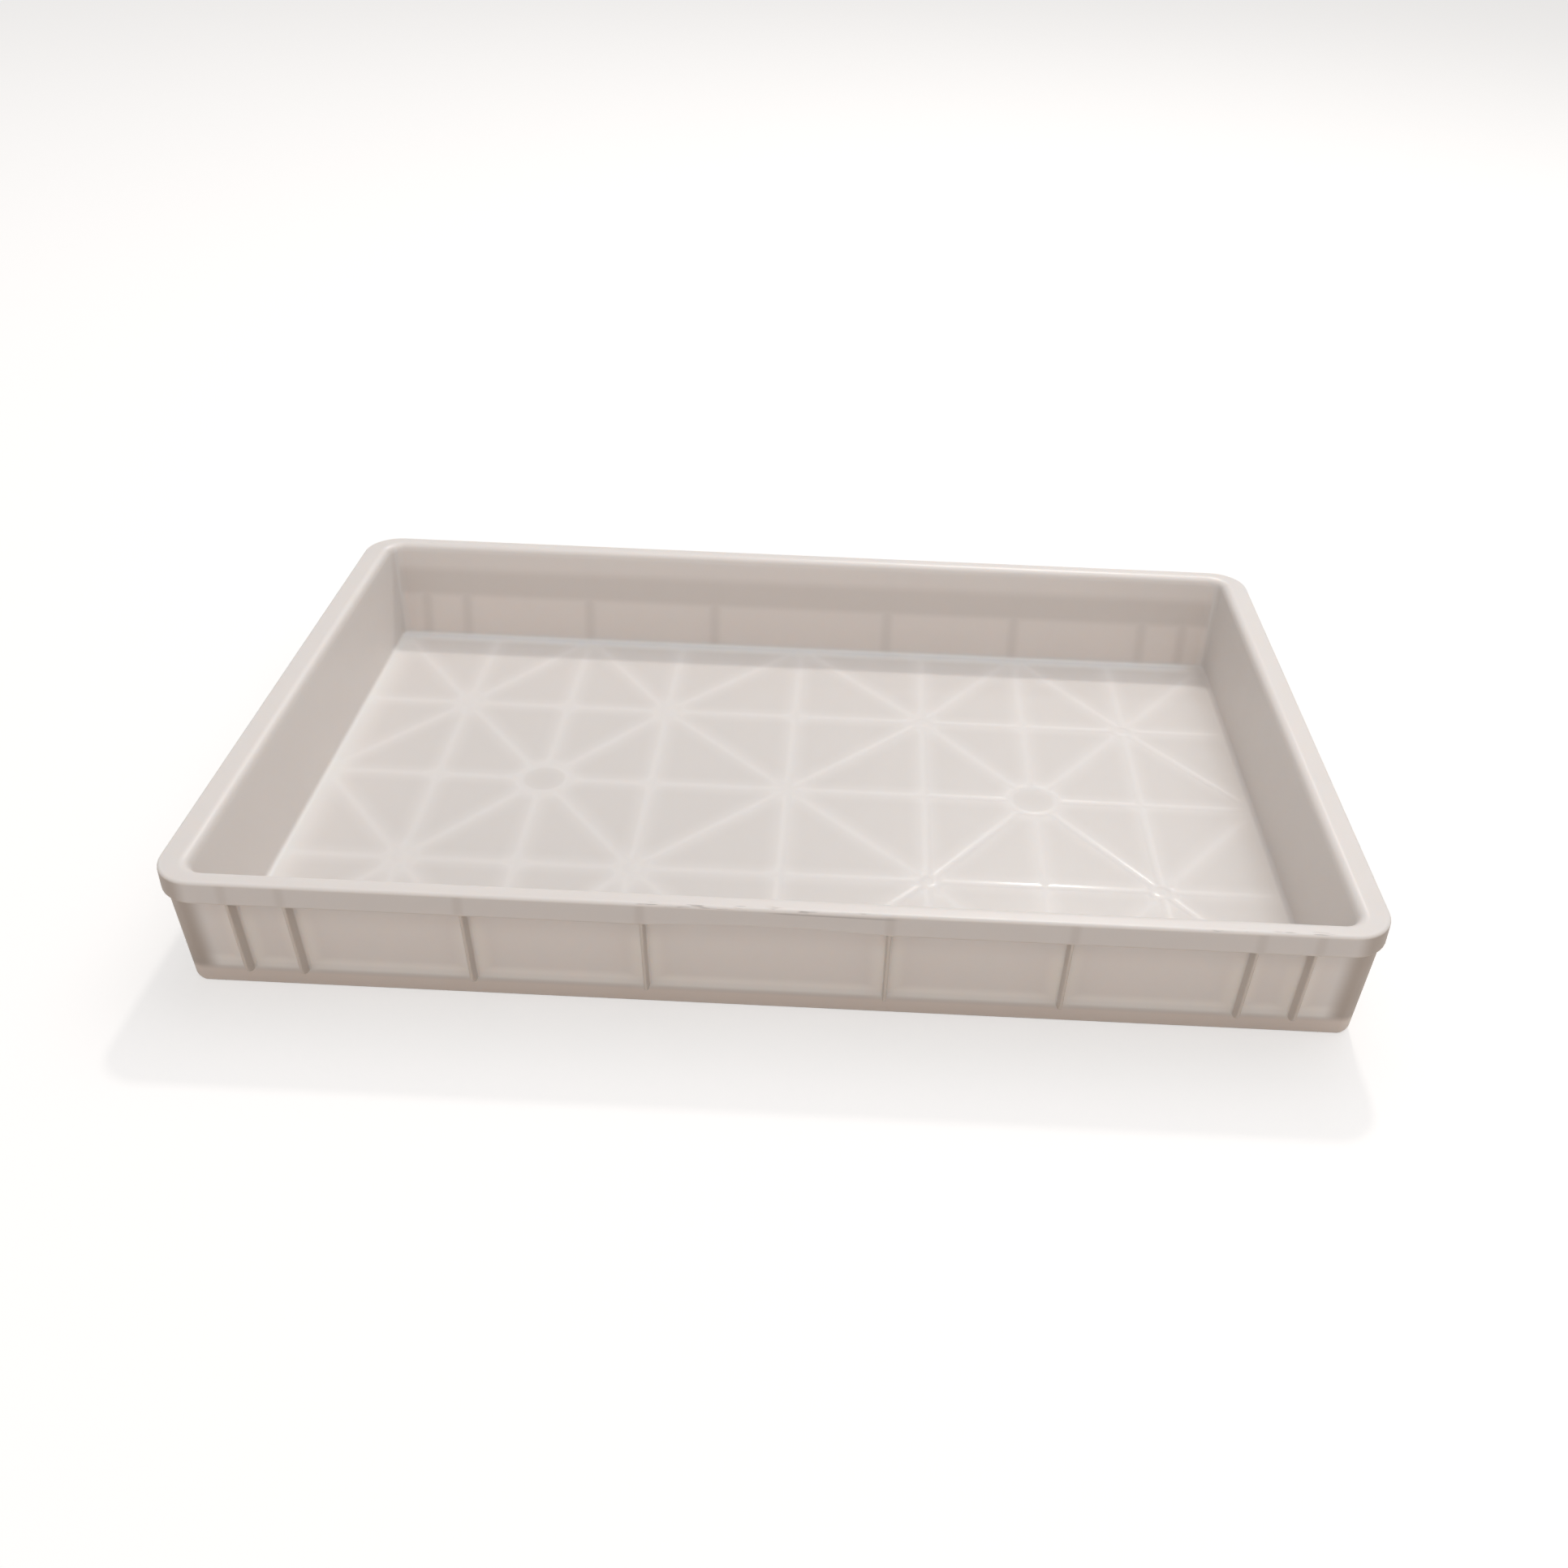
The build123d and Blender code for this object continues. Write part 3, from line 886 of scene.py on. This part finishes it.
def well_side(n, colour, z, past_long, past_end, from_rib):
    """Colour of the walls seen from the well, with the painted shade of the ribs and the apron
    behind them, and painted light on the long walls.
    """
    on_long = n.rise(past_long, *AT_WALL)
    on_end = n.rise(past_end, *AT_WALL)
    above_foot = n.rise(z, *WALL_FOOT)
    band = n.product(n.rise(z, *APRON_SHADE_LOW), n.fade(z, *APRON_SHADE_HIGH), APRON_SHADE_SHARE)
    lines = n.product(n.fade(from_rib, *RIB_SHADE), n.fade(z, *RIB_SHADE_HIGH), RIB_SHADE_SHARE)
    shade = n.product(n.math("MAXIMUM", band, lines), on_long, above_foot)
    shade = n.math("MAXIMUM", shade, n.product(on_end, above_foot, END_SHADE_SHARE))
    colour = n.mix(n.product(on_long, n.rise(z, *LONG_WALL_FOOT)), colour, LONG_WALL)
    colour = n.mix(shade, colour, SHADED)
    return n.mix(n.rise(z, *RIM_FROM_WELL), colour, RIM)


def outer_side(n, z, out, through, from_rib):
    """Colour outside, painted light and shade: bright where the well is behind the wall, dull on
    columns and ribs.

    out is the distance from the wall's inner face. through is 1 where the well is behind.
    """
    above_floor = n.rise(z, *FLOOR_HEIGHTS)
    above_edge = n.rise(z, *APRON_EDGE)
    # Painted light along the panels' feet and beside the ribs.
    halo = n.math("MAXIMUM", n.fade(from_rib, *RIB_HALO),
                  n.fade(gap_to(n, z, PANEL_FOOT), *FOOT_HALO))
    halo = n.product(halo, n.fade(z, *APRON_EDGE))
    colour = n.mix(halo, OUTSIDE, HALO)
    # Painted shade under the apron.
    colour = n.mix(n.product(n.rise(z, *UNDER_APRON), UNDER_APRON_SHARE), colour, APRON)

    on_apron = n.product(above_edge, n.rise(out, *APRON_OUT))
    colour = n.mix(on_apron, colour, APRON)
    # Painted shade on the apron: over the ribs behind it and along its lower edge.
    apron_rib_shade = n.product(n.fade(from_rib, *APRON_RIB_SHADE), APRON_RIB_SHADE_SHARE)
    edge = n.product(n.fade(z, *EDGE_LINE), EDGE_LINE_SHARE)
    colour = n.mix(n.product(n.math("MAXIMUM", apron_rib_shade, edge), on_apron), colour, DULL)

    # Painted shade on the ribs outside the walls.
    on_rib = n.product(n.rise(out, *RIB_OUT), n.fade(z, *RIB_HEAD), n.rise(z, *RIB_FOOT))
    colour = n.mix(on_rib, colour, RIB)
    # Painted light where the well is behind the wall; painted shade on the columns and below the
    # floor.
    colour = n.mix(n.product(through, above_floor), n.mix(above_floor, SKIRT, DULL), colour)
    return n.mix(n.rise(z, *RIM_FROM_OUTSIDE), colour, RIM)


def wall_colour(n, floor_colour, x, z, folded_x, folded_y):
    """Colour of everything but the floor, with painted light and shade for what shows through the
    plastic.
    """
    past_long = n.math("SUBTRACT", folded_y, n.math("MULTIPLY_ADD", z, DRAFT_Y, inner_y(0)))
    past_end = n.math("SUBTRACT", folded_x, n.math("MULTIPLY_ADD", z, DRAFT_X, inner_x(0)))
    lip = n.product(n.rise(z, *LIP_HEIGHTS), LIP_SHIFT)
    outside_long, outside_end = [n.rise(n.math("SUBTRACT", past, lip), *THROUGH_WALL)
                                 for past in (past_long, past_end)]
    long_ribs = prism_places("rear_wall_ribs", 0)
    end_ribs = sorted({round(abs(y), 4) for y in prism_places("right_wall_ribs", 1)})
    from_long_rib = nearest(n, [gap_to(n, x, place) for place in long_ribs])
    from_end_rib = nearest(n, [gap_to(n, folded_y, y) for y in end_ribs])

    through_long = n.fade(folded_x, *LONG_PANELS_END)
    through_end = n.fade(folded_y, *END_PANELS_END)
    through = n.blend(outside_long, through_end, through_long)
    from_rib = n.blend(outside_long, from_end_rib, from_long_rib)
    out = n.blend(outside_long, past_end, past_long)
    inner = well_side(n, floor_colour, z, past_long, past_end, from_long_rib)
    outer = outer_side(n, z, out, through, from_rib)
    return n.mix(n.math("MAXIMUM", outside_long, outside_end), inner, outer)


# Scratches, and the painted shade of a crease, at the front of the rim.
RIM_FRONT = (HALF_Y - 3.4 * MM, HALF_Y - 2 * MM)
RIM_TOP_EDGE = (HEIGHT - 1.6 * MM, HEIGHT - 0.9 * MM)
MIDDLE_SCRATCHES = (-10 * MM, 40 * MM, 80 * MM)         # middle, and where they thin and end
RIGHT_SCRATCHES = (235 * MM, 20 * MM, 45 * MM)
SCRATCH_GRAIN = (70.0, 900.0, 900.0)                    # long along the rim, fine across it
SCRATCH_CUT = (0.56, 0.68)                              # of the noise that places them
SCRATCH_SHARE = 0.7
CREASE_PLACE = (32 * MM, 22 * MM, 34 * MM)
CREASE_DROP = 1.9 * MM                                  # below the rim, at the tray's middle
CREASE_SLOPE = -0.012
CREASE_LINE = (0.15 * MM, 0.6 * MM)
CREASE_SHARE = 0.45


def scratches_and_crease_shade(n, place, x, y, z):
    front = n.rise(n.product(y, -1.0), *RIM_FRONT)
    parts = [n.fade(gap_to(n, x, middle), thin, end)
             for middle, thin, end in (MIDDLE_SCRATCHES, RIGHT_SCRATCHES)]
    where = n.product(front, n.math("MAXIMUM", *parts), n.rise(z, *RIM_TOP_EDGE))
    long_grain = n.vector("MULTIPLY", place, SCRATCH_GRAIN)
    scratch = n.rise(n.noise(long_grain, 1.0, 2.0), *SCRATCH_CUT)
    scratch = n.product(scratch, where, SCRATCH_SHARE)
    # Painted shade along a crease dented into the rim; the scratches above are real wear.
    crease_height = n.math("MULTIPLY_ADD", x, CREASE_SLOPE, HEIGHT - CREASE_DROP)
    middle, thin, end = CREASE_PLACE
    along = n.fade(gap_to(n, x, middle), thin, end)
    crease_shade = n.fade(gap_to(n, z, crease_height), *CREASE_LINE)
    crease_shade = n.product(crease_shade, along, front, CREASE_SHARE)
    return n.math("MAXIMUM", scratch, crease_shade)


ON_FLOOR = (FLOOR_TOP + 0.2 * MM, FLOOR_TOP + 2 * MM)
SIDE_GLOW = (FOOT_Y - 13 * MM, FOOT_Y - 4 * MM)         # along the feet of the long walls
LEFT_GLOW = (-FOOT_X, 22 * MM - FOOT_X)
LEFT_GLOW_SHARE = 0.6
RIGHT_SHADE = (FOOT_X - 20 * MM, FOOT_X)
RIGHT_SHADE_SHARE = 0.6
MOTTLE_SCALE = 14.0
MOTTLE_SHARE = 0.2
GLOSS_SCALE = 60.0
ROUGHNESS = (0.30, 0.46)
GRAIN_SCALE = 900.0
FLOOR_COAT = 0.3                                        # the floor is glossier than the walls


def milky_plastic():
    material = bpy.data.materials.new("milky_plastic")
    material.use_nodes = True
    tree = material.node_tree
    shader = tree.nodes["Principled BSDF"]
    n = Nodes(tree)
    place = n.add("ShaderNodeTexCoord").outputs["Object"]
    axes = n.add("ShaderNodeSeparateXYZ", {0: place})
    x, y, z = (axes.outputs[i] for i in range(3))
    folded_x = n.math("ABSOLUTE", x)
    folded_y = n.math("ABSOLUTE", y)

    on_floor = n.fade(z, *ON_FLOOR)
    # Painted light over the floor's ribs; the mottle is the plastic's own uneven tone.
    ribs = n.product(over_floor_ribs(n, folded_x, folded_y), on_floor, LINE_SHARE)
    mottle = n.product(n.noise(place, MOTTLE_SCALE), MOTTLE_SHARE)
    share = n.math("ADD", ribs, mottle, clamp=True)
    colour = n.mix(share, PANEL, LINE)
    along_side = n.rise(folded_y, *SIDE_GLOW)
    along_left = n.product(n.fade(x, *LEFT_GLOW), LEFT_GLOW_SHARE)
    glow = n.product(n.math("MAXIMUM", along_side, along_left), on_floor)
    colour = n.mix(glow, colour, FOOT)
    right_shade = n.product(n.rise(x, *RIGHT_SHADE), on_floor, RIGHT_SHADE_SHARE)
    colour = n.mix(right_shade, colour, SHADED)
    colour = wall_colour(n, colour, x, z, folded_x, folded_y)
    colour = n.mix(scratches_and_crease_shade(n, place, x, y, z), colour, SCRATCH_AND_CREASE_SHADE)

    tree.links.new(colour, shader.inputs["Base Color"])
    smoothest, roughest = ROUGHNESS
    rough = n.add("ShaderNodeMapRange", {"Value": n.noise(place, GLOSS_SCALE),
                                         "To Min": smoothest, "To Max": roughest})
    tree.links.new(rough.outputs[0], shader.inputs["Roughness"])
    grain = n.noise(place, GRAIN_SCALE, 2.0)
    bump = n.add("ShaderNodeBump", {"Height": grain, "Strength": 0.12, "Distance": 0.05 * MM})
    tree.links.new(bump.outputs[0], shader.inputs["Normal"])
    shader.inputs["Subsurface Weight"].default_value = 1.0
    shader.inputs["Subsurface Radius"].default_value = (1.0, 0.92, 0.84)
    shader.inputs["Subsurface Scale"].default_value = 1.8 * MM
    tree.links.new(n.product(on_floor, FLOOR_COAT), shader.inputs["Coat Weight"])
    shader.inputs["Coat Roughness"].default_value = 0.13
    return material


# --- Stage --------------------------------------------------------------------------------
FLOOR_HALF = 6.0                        # metres
FLOOR_LIT = (0.62, 0.61, 0.60, 1)       # the floor's colour as the camera sees it
FLOOR_GLOW = 0.52                       # and its own light, which brings it to white
FLOOR_BOUNCE = (0.80, 0.755, 0.715, 1)  # the floor's colour as the tray sees it
SKY = (1.0, 0.97, 0.95, 1)
SKY_STRENGTH = 0.43
CAMERA_TURN = (0.019, 0.579, 0.035)     # azimuth, elevation and roll, in radians
CAMERA_TARGET = (17.93, -33.69, 42.0)   # mm
CAMERA_DISTANCE = 890.275 * MM


def plain_floor():
    """A pale floor that looks white, and throws back less light on to the tray than it shows."""
    mesh = bpy.data.meshes.new("floor")
    corners = [(x * FLOOR_HALF, y * FLOOR_HALF, 0) for x, y in ((-1, -1), (1, -1), (1, 1), (-1, 1))]
    mesh.from_pydata(corners, [], [(0, 1, 2, 3)])
    floor = placed(mesh)
    material = bpy.data.materials.new("pale_floor")
    material.use_nodes = True
    tree = material.node_tree
    tree.nodes.clear()
    n = Nodes(tree)
    shown = n.add("ShaderNodeAddShader", {
        0: n.add("ShaderNodeBsdfDiffuse", {"Color": FLOOR_LIT}).outputs[0],
        1: n.add("ShaderNodeEmission", {"Color": (1, 1, 1, 1), "Strength": FLOOR_GLOW}).outputs[0]})
    bounced = n.add("ShaderNodeBsdfDiffuse", {"Color": FLOOR_BOUNCE})
    seen = n.add("ShaderNodeLightPath").outputs["Is Camera Ray"]
    surface = n.add("ShaderNodeMixShader", {0: seen, 1: bounced.outputs[0], 2: shown.outputs[0]})
    n.add("ShaderNodeOutputMaterial", {"Surface": surface.outputs[0]})
    mesh.materials.append(material)


def area_light(name, azimuth, elevation, distance, size, power, colour):
    """A square light that faces the tray. Its azimuth runs rightwards from straight behind."""
    light = bpy.data.lights.new(name, "AREA")
    light.energy = power
    light.size = size
    light.color = colour
    obj = bpy.data.objects.new(name, light)
    bpy.context.scene.collection.objects.link(obj)
    turn, rise = radians(azimuth), radians(elevation)
    away = Vector((cos(rise) * sin(turn), cos(rise) * cos(turn), sin(rise)))
    obj.location = away * distance + Vector((0, HALF_Y / 2, HEIGHT / 2))
    obj.rotation_euler = away.to_track_quat("Z", "Y").to_euler()
    return obj


def lights():
    world = bpy.data.worlds.new("studio")
    bpy.context.scene.world = world
    world.use_nodes = True
    world.node_tree.nodes["Background"].inputs["Color"].default_value = SKY
    world.node_tree.nodes["Background"].inputs["Strength"].default_value = SKY_STRENGTH
    area_light("key", azimuth=14, elevation=56.9, distance=4.0, size=0.24, power=34,
               colour=(1.0, 0.96, 0.92))
    area_light("overhead", azimuth=60, elevation=72, distance=2.4, size=2.2, power=19,
               colour=(0.97, 0.97, 1.0))
    glint = area_light("glint", azimuth=14, elevation=44, distance=4.0, size=0.2, power=9,
                       colour=(1.0, 0.98, 0.95))
    glint.visible_diffuse = False
    area_light("front", azimuth=184, elevation=16, distance=3.0, size=1.6, power=9,
               colour=(1.0, 0.96, 0.94))


def camera():
    """Camera aimed by its azimuth, elevation and roll."""
    azimuth, elevation, roll = CAMERA_TURN
    target = Vector(CAMERA_TARGET) * MM
    back = Vector((sin(azimuth) * cos(elevation), -cos(azimuth) * cos(elevation), sin(elevation)))
    right = (-back).cross(Vector((0, 0, 1))).normalized()
    up = right.cross(-back)
    rolled_right = cos(roll) * right + sin(roll) * up
    rolled_up = -sin(roll) * right + cos(roll) * up
    data = bpy.data.cameras.new("camera")
    data.sensor_width = 36
    data.lens = 35.39
    data.shift_x = -0.021
    obj = bpy.data.objects.new("camera", data)
    bpy.context.scene.collection.objects.link(obj)
    turn = Matrix((rolled_right, rolled_up, back)).transposed().to_4x4()
    obj.matrix_world = Matrix.Translation(target + back * CAMERA_DISTANCE) @ turn
    bpy.context.scene.camera = obj


bpy.context.scene.view_settings.view_transform = "Standard"
plain_floor()
lights()
camera()

mesh = tray_mesh()
mesh.name = "tray"
mesh.materials.clear()
mesh.materials.append(milky_plastic())
mesh.shade_smooth()
mesh.set_sharp_from_angle(angle=radians(35))
tray = placed(mesh)
weighted = tray.modifiers.new("weighted normals", "WEIGHTED_NORMAL")
weighted.keep_sharp = True
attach(tray, "root")
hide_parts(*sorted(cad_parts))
